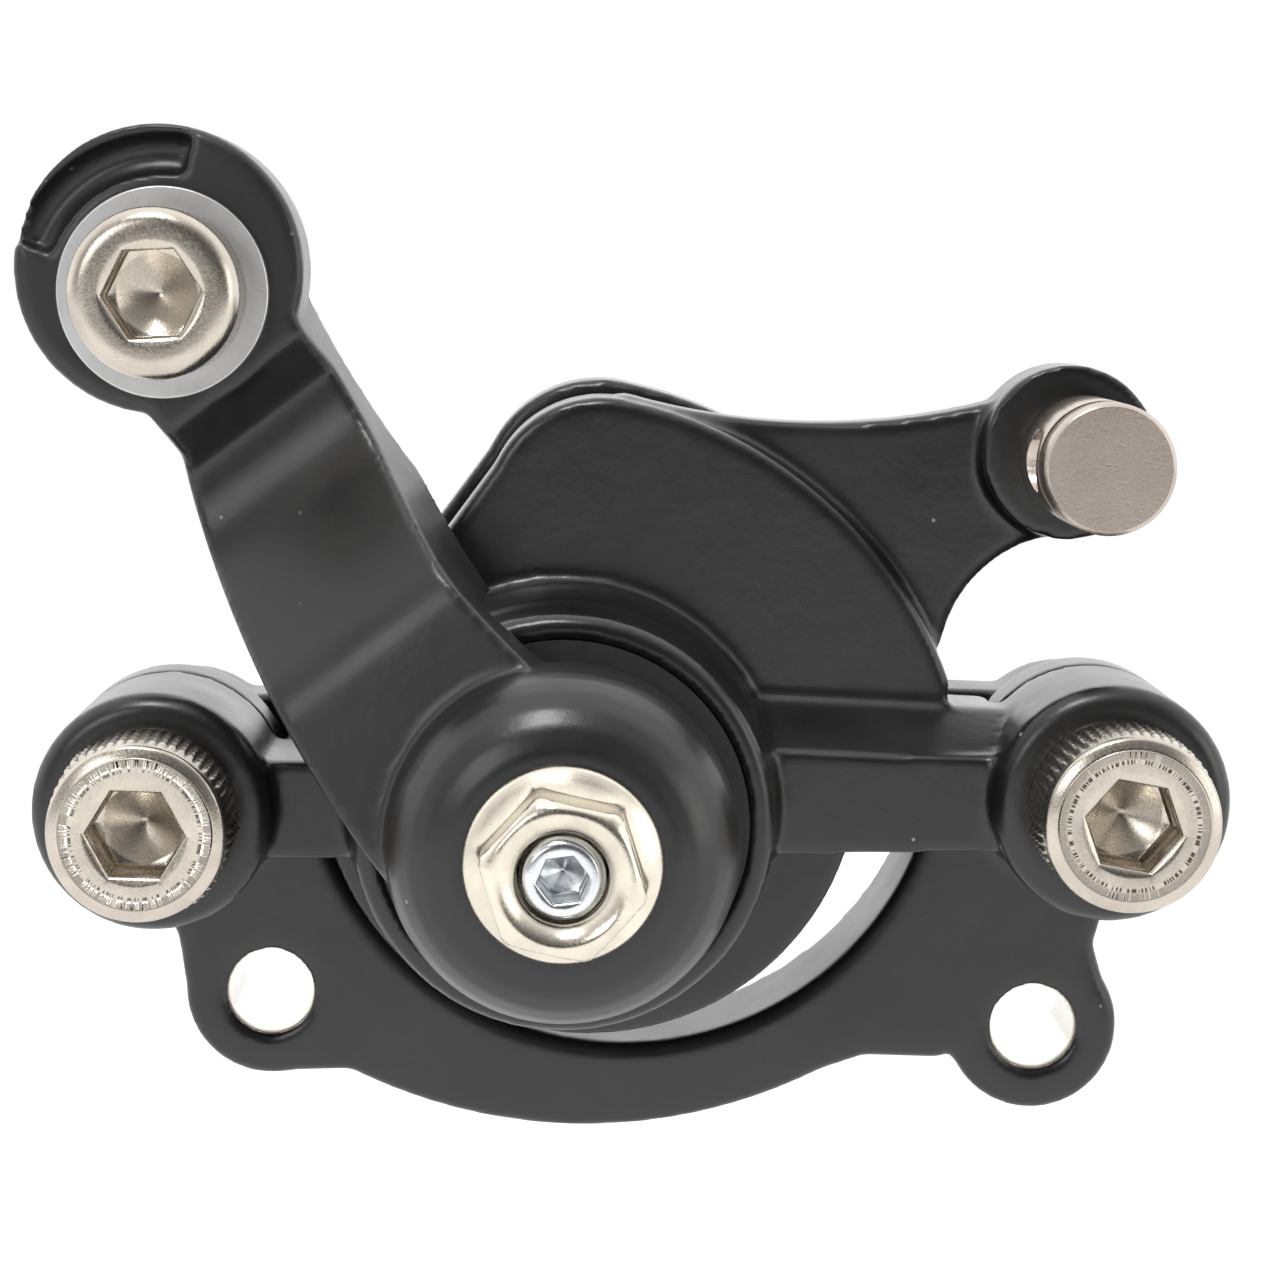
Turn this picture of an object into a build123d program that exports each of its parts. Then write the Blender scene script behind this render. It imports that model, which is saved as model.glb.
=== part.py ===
"""Cable-operated disc brake caliper, two bolted castings, millimetres.

The origin is midway between the two lug holes, on the face that sits against the frame.
X runs through both holes, Y away from the rider's side, Z up towards the lever's end.
A "distance" is how far a face stands in front of the frame face, towards -Y.
"""
import os
from math import cos, dist, radians, sin

from build123d import *

# ---- Driving sizes: where things stand, seen from the front as (x, z) ----
lug_spacing = 60.0
boss_spacing = 70.4
boss_middle = (-2.85, 18.45)
boss_line_angle = 3.3
hub = (-8.0, 17.8)
ear = (29.9, 45.2)
lever_length = 47.3
lever_rest_angle = 129.7

# ---- Driving sizes: layers, as distances in front of the frame face ----
rear_wall_back = -5.0
fixed_pad_floor = -1.5
inner_face = 3.5
lug_front = 11.0
outer_back = 9.5
parting = 13.0
fin_front = 17.0
ear_front = 13.8
ear_boss_front = 16.0
arm_front = 24.0
boss_front = 26.0
hub_front = 30.0
lever_arm_front = 23.6
lever_end_front = 26.4
lever_root_front = 34.6
lever_hub_front = 44.0
pin_front = 28.0

# ---- Driving sizes: pieces ----
lug_radius = 6.7
lug_hole_radius = 3.3
boss_radius = 8.8
boss_back = 8.0
boss_tail_radius = 7.2
opening_centre = (-3.4, 21.6)
opening_radius = 24.6
yoke_depth = 9.8
web_centre = (-6.0, 19.4)
web_radius = 20.7
web_front = 15.0
hub_radius = 16.0
hub_rim_radius = 15.2
hub_wall = 1.8
hub_floor = 4.6
arm_width = 7.2
shelf_width = 3.0
ear_radius = 6.6
ear_boss_shift = (-1.0, 0.4)
casting_edge = 0.9
casting_clearance = 0.3
rear_wall = 3.0
rear_wall_margin = 0.8

pad_circles = ((hub, 12.2), ((-7.6, 40.2), 4.6), ((14.5, 29.5), 3.2))
pad_backing = 2.5
pad_lining = 3.0
lining_inset = 1.3
pad_clearance = 0.35
pad_travel = 1.6
pad_end_play = 0.2
slot_width = 5.5

sleeve_radius = 10.5
sleeve_wall = 2.0
spindle_clearance = 0.1
square_size = 10.0
square_depth = 2.0
square_play = 0.2
spring_wire = 1.3
spring_turns = 4.0
spring_clearance = 0.1
seal_height = 1.4
seal_lip = 0.1
button_radius = 5.0
button_height = 1.5
button_room = 1.0

m8_radius = 4.0
m8_clearance = 0.2
m8_head_radius = 6.7
m8_head_height = 8.0
m8_socket = 6.0
m8_socket_depth = 4.5
m8_socket_turn = 12
m6_radius = 3.0
thread_clearance = 0.05
running_clearance = 0.05

nut_flange_radius = 6.75
nut_flange_height = 1.4
nut_size = 10.0
nut_height = 6.0
nut_turn = 50
adjuster_socket = 3.0
adjuster_socket_depth = 3.5
adjuster_socket_turn = 10

lever_hub_radius = 12.3
lever_end_radius = 10.3
lever_end_shift = (-0.5, 1.6)
lever_draft = 8.0
lever_clearance = 0.4
clamp_head_radius = 6.0
clamp_head_height = 6.0
clamp_socket = 6.0
clamp_socket_depth = 3.2
clamp_socket_turn = 6
clamp_washer_radius = 7.5
clamp_washer_height = 1.1
clamp_nut_size = 10.0
clamp_nut_height = 2.6
cable_groove_radius = 1.5
cable_groove_middle = 9.8
cable_lip_drop = 0.6
cable_groove_start = 82
cable_groove_sweep = 82

pin_radius = 4.8
pin_shank_radius = 2.6
pin_head_height = 2.0
pin_groove_depth = 0.7
pin_groove_width = 1.2
cable_housing_radius = 2.5
cable_radius = 1.0
pin_base_play = 0.05
pin_end_inset = 0.1
pin_hole_margin = 0.6
ring_room = 1.5
ring_recess = 2.0
ring_inset = 0.5
ring_slot_depth = 0.5
ring_slot_height = 0.8
ring_play = 0.1
ring_edge_room = 0.3
magnet_radius = 3.0
magnet_height = 1.0

# ---- Derived places ----
boss_reach = (boss_spacing / 2 * cos(radians(boss_line_angle)),
              boss_spacing / 2 * sin(radians(boss_line_angle)))
left_boss = (boss_middle[0] - boss_reach[0], boss_middle[1] - boss_reach[1])
right_boss = (boss_middle[0] + boss_reach[0], boss_middle[1] + boss_reach[1])
left_lug = (-lug_spacing / 2, 0)
right_lug = (lug_spacing / 2, 0)
lever_way = (cos(radians(lever_rest_angle)), sin(radians(lever_rest_angle)))
clamp = (hub[0] + lever_length * lever_way[0], hub[1] + lever_length * lever_way[1])
lever_end = (clamp[0] + lever_end_shift[0], clamp[1] + lever_end_shift[1])

ear_boss_centre = (ear[0] + ear_boss_shift[0], ear[1] + ear_boss_shift[1])

tail_back = rear_wall_back + 2.0
thread_end = rear_wall_back + 4.0
moving_pad_face = inner_face + slot_width
moving_pad_front = moving_pad_face + pad_lining + pad_backing
pocket_floor = moving_pad_front + pad_end_play
lever_back = hub_front + pad_travel + lever_clearance
lever_arm_back = fin_front + pad_travel + lever_clearance
sleeve_bore = sleeve_radius - sleeve_wall
spindle_radius = sleeve_bore - spindle_clearance
spindle_back = moving_pad_front + button_height + button_room
hub_cavity_radius = hub_rim_radius - hub_wall
cavity_floor = pocket_floor + hub_floor
seal_back = hub_front - seal_height + seal_lip
sleeve_front = seal_back - spring_clearance
nut_front = lever_hub_front + nut_height


def front(distance):
    """Sketch plane this far in front of the frame face, x to the right and y up."""
    return Plane.XZ.offset(distance)


def shifted(point, across, up):
    """Return the point moved by across and up."""
    return (point[0] + across, point[1] + up)


def along(start, end, share):
    """Return the point that lies this share of the way from start to end."""
    return (start[0] + (end[0] - start[0]) * share, start[1] + (end[1] - start[1]) * share)


def round_face(centre, radius, distance, bore=0):
    """Disc or ring, facing the front."""
    with BuildSketch(front(distance)) as face:
        with Locations(centre):
            Circle(radius)
            if bore:
                Circle(bore, mode=Mode.SUBTRACT)
    return face.sketch


def hexagon_face(centre, across_flats, distance, turn=0):
    """Hexagon with this width across its flats, facing the front."""
    with BuildSketch(front(distance)) as face:
        with Locations(centre):
            RegularPolygon(across_flats / 2, 6, major_radius=False, rotation=turn)
    return face.sketch


def hull_face(circles, grow, distance):
    """Belt outline round some circles, each grown by the same amount."""
    with BuildSketch(front(distance)) as face:
        for centre, radius in circles:
            with Locations(centre):
                Circle(radius + grow)
        make_hull()
    return face.sketch


def bar_face(start, end, width, distance):
    """Straight bar between two points, facing the front."""
    with BuildSketch(front(distance)) as face:
        with BuildLine():
            Line(start, end)
        trace(line_width=width)
    return face.sketch


def turned_profile(centre, points):
    """Closed (radius, distance) outline, ready to revolve about the front-to-back line at centre."""
    plane = Plane(origin=(centre[0], 0, centre[1]), x_dir=(1, 0, 0), z_dir=(0, 0, -1))
    with BuildSketch(plane) as profile:
        with BuildLine():
            Polyline(*points, close=True)
        make_face()
    return profile.sketch


def turning_axis(centre):
    """Front-to-back line through centre."""
    return Axis((centre[0], 0, centre[1]), (0, -1, 0))


def fin_outline(distance, grow=0):
    """Shark-fin outline of the pad housing above the hub, grown all round."""
    root_left = shifted(hub, -17.5, 8.0)
    shoulder = shifted(hub, -6.4, 24.6)
    crown = shifted(hub, -1.6, 29.5)
    crest = shifted(hub, 4.0, 29.9)
    belly = shifted(hub, 18.7, 23.4)
    toe = shifted(hub, 28.9, 9.9)
    heel = shifted(hub, 27.8, 3.0)
    with BuildSketch(front(distance)) as face:
        with BuildLine():
            Line(root_left, shoulder)
            ThreePointArc(shoulder, crown, crest)
            ThreePointArc(crest, belly, toe)
            Polyline(toe, heel, hub, root_left)
        make_face()
        if grow:
            offset(amount=grow)
    return face.sketch


def ear_outline(distance):
    """Web that carries the ear's boss, hollowed along its top and its underside."""
    root_top = shifted(hub, 3.0, 30.4)
    dip_top = shifted(hub, 16.0, 28.9)
    neck_top = shifted(ear_boss_centre, -4.9, 3.7)
    neck_low = shifted(ear_boss_centre, 1.0, -ear_radius + 0.3)
    dip_low = shifted(ear, -6.7, -9.0)
    root_low = shifted(ear, -9.5, -15.0)
    with BuildSketch(front(distance)) as face:
        with BuildLine():
            ThreePointArc(root_top, dip_top, neck_top)
            Polyline(neck_top, ear_boss_centre, neck_low)
            ThreePointArc(neck_low, dip_low, root_low)
            Polyline(root_low, shifted(hub, 12.0, 10.0), root_top)
        make_face()
    return face.sketch


def yoke_outline(distance):
    """Crescent that ties both lugs and both bosses together."""
    with BuildSketch(front(distance)) as face:
        with BuildLine():
            Polyline(shifted(left_boss, -4.0, -6.0), shifted(left_lug, -lug_radius - 0.8, 4.2),
                     shifted(left_lug, -lug_radius, 0), left_lug, shifted(left_lug, 1.4, -lug_radius + 0.2),
                     shifted(left_lug, 6.4, -6.1))
            ThreePointArc(shifted(left_lug, 6.4, -6.1), (boss_middle[0] - 3.2, -yoke_depth),
                          shifted(right_lug, -16.5, -4.4))
            Polyline(shifted(right_lug, -16.5, -4.4), shifted(right_lug, -13.2, -3.1),
                     shifted(right_lug, -lug_radius - 0.6, -3.0), right_lug,
                     shifted(right_lug, lug_radius, 0), shifted(right_lug, lug_radius - 2.3, 6.8),
                     shifted(right_boss, 4.0, -6.0), right_boss, left_boss, shifted(left_boss, -4.0, -6.0))
        make_face()
        with Locations(opening_centre):
            Circle(opening_radius, mode=Mode.SUBTRACT)
    return face.sketch


# ---- Inner housing: lugs, yoke, rear bosses and the wall behind the fixed pad ----
with BuildPart() as inner_housing:
    extrude(yoke_outline(0), amount=lug_front)
    for lug in (left_lug, right_lug):
        extrude(round_face(lug, lug_radius, 0), amount=lug_front)
    yoke_front = inner_housing.faces().filter_by(Axis.Y).sort_by(Axis.Y)[0]
    fillet(yoke_front.outer_wire().edges(), casting_edge)
    extrude(hull_face(pad_circles, rear_wall, rear_wall_back), amount=inner_face - rear_wall_back)
    wall_back = inner_housing.faces().filter_by(Axis.Y).sort_by(Axis.Y)[-1]
    fillet(wall_back.outer_wire().edges(), 2 * casting_edge)
    extrude(fin_outline(tail_back, rear_wall_margin), amount=inner_face - tail_back)
    for boss in (left_boss, right_boss):
        extrude(round_face(boss, boss_radius, boss_back), amount=parting - boss_back)
        extrude(round_face(boss, boss_tail_radius, tail_back), amount=boss_back - tail_back)
        extrude(hull_face(((boss, boss_tail_radius - 2), (hub, boss_tail_radius)), 0, tail_back),
                amount=inner_face - tail_back)
    extrude(hull_face(pad_circles, pad_clearance, fixed_pad_floor), amount=inner_face - fixed_pad_floor,
            mode=Mode.SUBTRACT)
    extrude(round_face(hub, magnet_radius, fixed_pad_floor - magnet_height), amount=magnet_height,
            mode=Mode.SUBTRACT)
    for lug in (left_lug, right_lug):
        extrude(round_face(lug, lug_hole_radius, 0), amount=lug_front, mode=Mode.SUBTRACT)
    for boss in (left_boss, right_boss):
        extrude(round_face(boss, m8_radius + thread_clearance, thread_end), amount=parting - thread_end,
                mode=Mode.SUBTRACT)
inner_housing.part.label = "inner_housing"

# ---- Outer housing: hub, arms, ring bosses, fin over the moving pad, ear for the cable stop ----
shelf_foot = shifted(hub, 15.0, 5.2)
shelf_start = along(right_boss, hub, 0.75)[0]
with BuildPart() as outer_housing:
    extrude(fin_outline(outer_back), amount=fin_front - outer_back)
    fin_face = outer_housing.faces().filter_by(Axis.Y).sort_by(Axis.Y)[0]
    fin_rim = fin_face.outer_wire().edges().filter_by(lambda edge: edge.center().Z > hub[1] + 9.0)
    fillet(fin_rim, 0.7 * casting_edge)
    extrude(ear_outline(outer_back), amount=ear_front - outer_back)
    extrude(round_face(ear_boss_centre, ear_radius, outer_back), amount=ear_boss_front - outer_back)
    extrude(round_face(web_centre, web_radius, outer_back), amount=web_front - outer_back)
    revolve(turned_profile(hub, ((0, outer_back), (hub_radius + 0.2, outer_back),
                                 (hub_radius + 0.2, fin_front + 1.2),
                                 (hub_radius - 0.2, hub_front - 5.0), (hub_rim_radius + 0.3, hub_front - 4.2),
                                 (hub_rim_radius, hub_front - 0.6), (hub_rim_radius - 0.6, hub_front),
                                 (0, hub_front))), axis=turning_axis(hub))
    for boss in (left_boss, right_boss):
        extrude(bar_face(boss, along(boss, hub, 0.75), arm_width, outer_back), amount=arm_front - outer_back)
        revolve(turned_profile(boss, ((0, parting), (boss_radius, parting),
                                      (boss_radius, boss_front - casting_edge),
                                      (boss_radius - casting_edge, boss_front), (0, boss_front))),
                axis=turning_axis(boss))
    with BuildSketch(Plane.YZ.offset(shelf_start)):
        with BuildLine():
            Polyline((-arm_front, shelf_foot[1] - 2.0), (-arm_front, shelf_foot[1]),
                     (-fin_front, shelf_foot[1] + shelf_width), (-outer_back, shelf_foot[1] + shelf_width),
                     (-outer_back, shelf_foot[1] - 2.0), close=True)
        make_face()
    extrude(amount=right_boss[0] - boss_radius / 2 - shelf_start)
    extrude(hull_face(pad_circles, pad_clearance, outer_back), amount=pocket_floor - outer_back,
            mode=Mode.SUBTRACT)
    extrude(round_face(hub, sleeve_radius, outer_back), amount=hub_front - outer_back, mode=Mode.SUBTRACT)
    extrude(round_face(hub, hub_cavity_radius, cavity_floor), amount=hub_front - cavity_floor,
            mode=Mode.SUBTRACT)
    for boss in (left_boss, right_boss):
        extrude(round_face(boss, m8_radius + m8_clearance, outer_back), amount=boss_front - outer_back,
                mode=Mode.SUBTRACT)
    extrude(round_face(ear, pin_shank_radius + running_clearance, outer_back),
            amount=ear_boss_front - outer_back, mode=Mode.SUBTRACT)
    extrude(round_face(ear, pin_shank_radius + ring_room, outer_back), amount=ring_recess, mode=Mode.SUBTRACT)
    for boss in (left_boss, right_boss):
        extrude(round_face(boss, boss_radius + casting_clearance, outer_back),
                amount=parting - outer_back, mode=Mode.SUBTRACT)
    extrude(yoke_outline(outer_back), amount=lug_front + casting_clearance - outer_back, mode=Mode.SUBTRACT)
outer_housing.part.label = "outer_housing"


def housing_screw(boss):
    """Knurled M8 socket cap screw that draws the two castings together."""
    shank_end = thread_end + 1.0
    head_top = boss_front + m8_head_height
    with BuildPart() as screw:
        revolve(turned_profile(boss, ((0, shank_end), (m8_radius - 0.7, shank_end),
                                      (m8_radius, shank_end + 0.7), (m8_radius, boss_front),
                                      (m8_head_radius - 0.3, boss_front),
                                      (m8_head_radius, boss_front + 0.3), (m8_head_radius, head_top - 0.9),
                                      (m8_head_radius - 0.7, head_top), (0, head_top))),
                axis=turning_axis(boss))
        extrude(hexagon_face(boss, m8_socket, head_top - m8_socket_depth, m8_socket_turn), amount=m8_socket_depth,
                mode=Mode.SUBTRACT)
    return screw


housing_screw_left = housing_screw(left_boss)
housing_screw_left.part.label = "housing_screw_left"
housing_screw_right = housing_screw(right_boss)
housing_screw_right.part.label = "housing_screw_right"

# ---- Helix sleeve, return spring and dust seal inside the hub ----
with BuildPart() as helix_sleeve:
    revolve(turned_profile(hub, ((sleeve_bore, pocket_floor), (sleeve_radius, pocket_floor),
                                 (sleeve_radius, sleeve_front - 0.5), (sleeve_radius - 0.5, sleeve_front),
                                 (sleeve_bore, sleeve_front))), axis=turning_axis(hub))
helix_sleeve.part.label = "helix_sleeve"

spring_room = seal_back - cavity_floor - spring_wire - 2 * spring_clearance
spring_radius = (sleeve_radius + hub_cavity_radius) / 2
with BuildPart() as return_spring:
    with BuildLine() as coil:
        Helix(pitch=spring_room / spring_turns, height=spring_room, radius=spring_radius,
              center=(hub[0], -cavity_floor - spring_wire / 2 - spring_clearance, hub[1]), direction=(0, -1, 0))
    with BuildSketch(Plane(coil.line @ 0, z_dir=coil.line % 0)):
        Circle(spring_wire / 2)
    sweep(path=coil.line, is_frenet=True)
return_spring.part.label = "return_spring"

with BuildPart() as dust_seal:
    revolve(turned_profile(hub, ((spindle_radius + 0.2, seal_back), (hub_cavity_radius, seal_back),
                                 (hub_cavity_radius, seal_back + seal_height),
                                 (spindle_radius + 0.8, seal_back + seal_height),
                                 (spindle_radius + 0.2, seal_back + 0.6))), axis=turning_axis(hub))
dust_seal.part.label = "dust_seal"

# ---- Fixed pad, in the inner housing ----
with BuildPart() as fixed_pad_backing:
    extrude(hull_face(pad_circles, 0, fixed_pad_floor), amount=pad_backing)
fixed_pad_backing.part.label = "fixed_pad_backing"

with BuildPart() as fixed_pad_lining:
    extrude(hull_face(pad_circles, -lining_inset, fixed_pad_floor + pad_backing), amount=pad_lining)
fixed_pad_lining.part.label = "fixed_pad_lining"

with BuildPart() as fixed_pad_magnet:
    extrude(round_face(hub, magnet_radius - 0.05, fixed_pad_floor - magnet_height), amount=magnet_height)
fixed_pad_magnet.part.label = "fixed_pad_magnet"

# ---- Moving pad, guided by the pocket in the outer housing ----
with BuildPart() as moving_pad_lining:
    extrude(hull_face(pad_circles, -lining_inset, moving_pad_face), amount=pad_lining)
moving_pad_lining.part.label = "moving_pad_lining"

with BuildPart() as moving_pad_backing:
    extrude(hull_face(pad_circles, 0, moving_pad_face + pad_lining), amount=pad_backing)
moving_pad_backing.part.label = "moving_pad_backing"

with BuildPart() as thrust_button:
    revolve(turned_profile(hub, ((0, moving_pad_front), (button_radius, moving_pad_front),
                                 (button_radius, moving_pad_front + button_height - 0.5),
                                 (button_radius - 0.5, moving_pad_front + button_height),
                                 (0, moving_pad_front + button_height))), axis=turning_axis(hub))
thrust_button.part.label = "thrust_button"

# ---- Lever: cranked arm, spindle, lock nut and the cable clamp at its end ----
side_plane = Plane(origin=(hub[0], 0, hub[1]), x_dir=(lever_way[0], 0, lever_way[1]),
                   z_dir=(lever_way[1], 0, -lever_way[0]))
crank_start = hub_rim_radius + 1.2
root = (lever_hub_radius * 0.6, lever_root_front + 2.4)
crease = (19.6, lever_root_front)
arm_back_start = crease[0] + 6.4
ramp_foot = (31.5, lever_arm_front)
land_foot = (lever_length - 11.4, lever_arm_front)
land_edge = (lever_length - 8.0, lever_end_front)
lever_reach = lever_length + lever_end_radius + 6.0
groove_way = (cos(radians(cable_groove_start)), sin(radians(cable_groove_start)))
groove_plane = Plane(origin=(clamp[0], 0, clamp[1]), x_dir=(groove_way[0], 0, groove_way[1]),
                     z_dir=(groove_way[1], 0, -groove_way[0]))


def bend(before, corner, after, reach):
    """Arc that rounds a corner, from this far before it to this far after it."""
    start = along(corner, before, reach / dist(corner, before))
    end = along(corner, after, reach / dist(corner, after))
    return TangentArc(start, end, tangent=(corner[0] - before[0], corner[1] - before[1]))


def lever_outline(distance):
    """Back outline of the arm, from inside the round hub out to inside the round end."""
    hub_left = shifted(hub, -12.6, -6.5)
    waist_left = shifted(clamp, 0.8, -12.0)
    neck_left = shifted(clamp, -2.6, -8.3)
    neck_right = shifted(lever_end, lever_end_radius - 0.2, -1.2)
    waist_right = shifted(along(hub, clamp, 0.55), 4.8, 4.1)
    hub_right = shifted(hub, -0.1, 13.0)
    with BuildSketch(front(distance)) as face:
        with BuildLine():
            ThreePointArc(hub_left, shifted(along(hub_left, waist_left, 0.5), -1.9, -0.9), waist_left)
            Polyline(waist_left, neck_left, lever_end, neck_right)
            ThreePointArc(neck_right, waist_right, hub_right)
            Polyline(hub_right, hub, hub_left)
        make_face()
    return face.sketch


with BuildPart() as lever_arm:
    with BuildSketch(side_plane):
        with BuildLine():
            crest = bend(root, crease, ramp_foot, 2.0)
            hollow = bend(crease, ramp_foot, land_foot, 3.8)
            Line(crest @ 1, hollow @ 0)
            Polyline(hollow @ 1, land_foot, land_edge, (lever_reach, lever_end_front),
                     (lever_reach, lever_arm_back), (arm_back_start, lever_arm_back),
                     (crank_start, lever_back - 5.0), (crank_start, lever_back),
                     (-lever_hub_radius - 1, lever_back), (-lever_hub_radius - 1, root[1]), root, crest @ 0)
        make_face()
    extrude(amount=40, both=True)
    extrude(lever_outline(lever_arm_back), amount=lever_hub_front - lever_arm_back, taper=lever_draft,
            mode=Mode.INTERSECT)
    revolve(turned_profile(lever_end, ((0, lever_arm_back), (lever_end_radius, lever_arm_back),
                                       (lever_end_radius, lever_end_front - 0.5 * casting_edge),
                                       (lever_end_radius - 0.5 * casting_edge, lever_end_front),
                                       (0, lever_end_front))), axis=turning_axis(lever_end))
    revolve(turned_profile(hub, ((0, lever_back), (lever_hub_radius - 0.6, lever_back),
                                 (lever_hub_radius, lever_back + 0.6), (lever_hub_radius, lever_hub_front - 5.4),
                                 (lever_hub_radius - 0.3, lever_hub_front - 4.0),
                                 (lever_hub_radius - 0.9, lever_hub_front - 2.7),
                                 (lever_hub_radius - 1.8, lever_hub_front - 1.5),
                                 (lever_hub_radius - 3.0, lever_hub_front - 0.6),
                                 (lever_hub_radius - 4.6, lever_hub_front), (0, lever_hub_front))),
            axis=turning_axis(hub))
    with BuildSketch(front(0)):
        with Locations(hub):
            Rectangle(square_size + 2 * thread_clearance, square_size + 2 * thread_clearance,
                      rotation=lever_rest_angle)
    extrude(amount=lever_hub_front - square_depth, mode=Mode.SUBTRACT)
    extrude(round_face(hub, m6_radius + thread_clearance, lever_back), amount=lever_hub_front - lever_back,
            mode=Mode.SUBTRACT)
    extrude(round_face(clamp, m6_radius + thread_clearance, lever_arm_back),
            amount=lever_end_front - lever_arm_back, mode=Mode.SUBTRACT)
    with BuildSketch(groove_plane):
        with Locations((cable_groove_middle, lever_end_front - cable_lip_drop)):
            Circle(cable_groove_radius)
        with Locations((cable_groove_middle + cable_groove_radius, lever_end_front)):
            Rectangle(2 * cable_groove_radius, 2 * cable_lip_drop)
    revolve(axis=turning_axis(clamp), revolution_arc=cable_groove_sweep, mode=Mode.SUBTRACT)
lever_arm.part.label = "lever_arm"

with BuildPart() as spindle:
    extrude(round_face(hub, spindle_radius, spindle_back), amount=lever_back - spindle_back)
    with BuildSketch(front(lever_back)):
        with Locations(hub):
            Rectangle(square_size, square_size, rotation=lever_rest_angle)
    extrude(amount=lever_hub_front - square_depth - square_play - lever_back)
    extrude(round_face(hub, m6_radius + thread_clearance, spindle_back), amount=lever_hub_front - spindle_back,
            mode=Mode.SUBTRACT)
spindle.part.label = "spindle"

with BuildPart() as lock_nut:
    revolve(turned_profile(hub, ((0, lever_hub_front), (nut_flange_radius, lever_hub_front),
                                 (nut_flange_radius, lever_hub_front + 0.6),
                                 (nut_size / 2, lever_hub_front + nut_flange_height + 0.4),
                                 (0, lever_hub_front + nut_flange_height + 0.4))), axis=turning_axis(hub))
    extrude(hexagon_face(hub, nut_size, lever_hub_front, nut_turn), amount=nut_height)
    nut_corner_round = turned_profile(hub, ((0, lever_hub_front), (nut_flange_radius + 1, lever_hub_front),
                                            (nut_flange_radius + 1, nut_front - 2.6),
                                            (nut_size / 2 - 0.4, nut_front), (0, nut_front)))
    revolve(nut_corner_round, axis=turning_axis(hub), mode=Mode.INTERSECT)
    extrude(round_face(hub, m6_radius + thread_clearance, lever_hub_front), amount=nut_height,
            mode=Mode.SUBTRACT)
    revolve(turned_profile(hub, ((0, nut_front), (m6_radius + 0.8, nut_front), (m6_radius, nut_front - 0.8),
                                 (0, nut_front - 0.8))), axis=turning_axis(hub), mode=Mode.SUBTRACT)
lock_nut.part.label = "lock_nut"

clamp_seat = lever_end_front + clamp_washer_height
clamp_top = clamp_seat + clamp_head_height
clamp_bolt_back = lever_arm_back - clamp_nut_height + 0.6
with BuildPart() as cable_clamp_washer:
    extrude(round_face(clamp, clamp_washer_radius, lever_end_front, m6_radius + 0.2), amount=clamp_washer_height)
cable_clamp_washer.part.label = "cable_clamp_washer"

with BuildPart() as cable_clamp_bolt:
    revolve(turned_profile(clamp, ((0, clamp_bolt_back), (m6_radius, clamp_bolt_back),
                                   (m6_radius, clamp_seat), (clamp_head_radius, clamp_seat),
                                   (clamp_head_radius, clamp_top - 1.4),
                                   (clamp_head_radius - 0.4, clamp_top - 0.5),
                                   (clamp_head_radius - 1.2, clamp_top), (0, clamp_top))),
            axis=turning_axis(clamp))
    extrude(hexagon_face(clamp, clamp_socket, clamp_top - clamp_socket_depth, clamp_socket_turn),
            amount=clamp_socket_depth, mode=Mode.SUBTRACT)
cable_clamp_bolt.part.label = "cable_clamp_bolt"

with BuildPart() as cable_clamp_nut:
    extrude(hexagon_face(clamp, clamp_nut_size, lever_arm_back - clamp_nut_height), amount=clamp_nut_height)
    extrude(round_face(clamp, m6_radius + thread_clearance, lever_arm_back - clamp_nut_height),
            amount=clamp_nut_height, mode=Mode.SUBTRACT)
cable_clamp_nut.part.label = "cable_clamp_nut"

# ---- Pad adjuster: set screw through the lock nut and the spindle ----
adjuster_back = moving_pad_front + button_height + running_clearance
adjuster_front = nut_front - 0.6
with BuildPart() as adjuster_screw:
    revolve(turned_profile(hub, ((0, adjuster_back), (m6_radius - 1.0, adjuster_back),
                                 (m6_radius, adjuster_back + 1.0), (m6_radius, adjuster_front - 0.4),
                                 (m6_radius - 0.4, adjuster_front), (0, adjuster_front))),
            axis=turning_axis(hub))
    extrude(hexagon_face(hub, adjuster_socket, adjuster_front - adjuster_socket_depth, adjuster_socket_turn),
            amount=adjuster_socket_depth, mode=Mode.SUBTRACT)
adjuster_screw.part.label = "adjuster_screw"

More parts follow.
